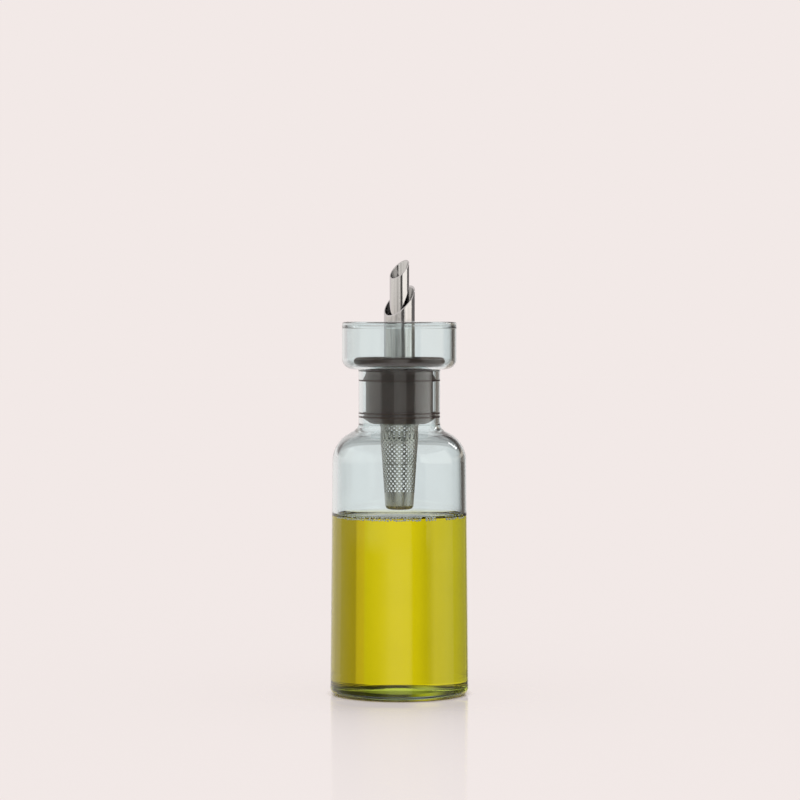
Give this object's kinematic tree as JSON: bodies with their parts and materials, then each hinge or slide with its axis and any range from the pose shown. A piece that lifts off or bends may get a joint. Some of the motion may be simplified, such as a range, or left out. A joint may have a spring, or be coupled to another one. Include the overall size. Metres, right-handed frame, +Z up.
{
  "type": "oil dispenser",
  "caption": "Glass oil bottle with a drip cup above its neck, closed by a silicone stopper that carries a double steel pouring spout and hangs a perforated strainer into the bottle.",
  "frame": {"origin": "centre of the bottle's foot, on the surface that the bottle stands on", "axes": "+Z up along the bottle's axis; the long lips of both spout tubes point half way between +X and +Y"},
  "size_m": [0.066, 0.066, 0.207],
  "materials": {
    "glass": "polished",
    "silicone": "satin",
    "polished_steel": "polished",
    "perforated_steel": "satin",
    "oil": "polished"
  },
  "bodies": {
    "bottle": {"glass_bottle": "glass"},
    "stopper": {"silicone_stopper": "silicone"},
    "spout": {"pouring_tube": "polished_steel", "drip_return_tube": "polished_steel", "upper_tube_spacer": "polished_steel", "lower_tube_spacer": "polished_steel"},
    "strainer": {"strainer": "perforated_steel"}
  },
  "joints": [
    {"name": "stopper_lift", "type": "slide", "parent": "bottle", "child": "stopper", "axis": [0, 0, 1], "range_m": [0, 0.09]},
    {"name": "spout_turn", "type": "hinge", "parent": "stopper", "child": "spout", "pos_m": [0, 0, 0.15], "axis": [0, 0, 1], "continuous": true},
    {"name": "strainer_pull", "type": "slide", "parent": "stopper", "child": "strainer", "axis": [0, 0, -1], "range_m": [0, 0.012]}
  ]
}
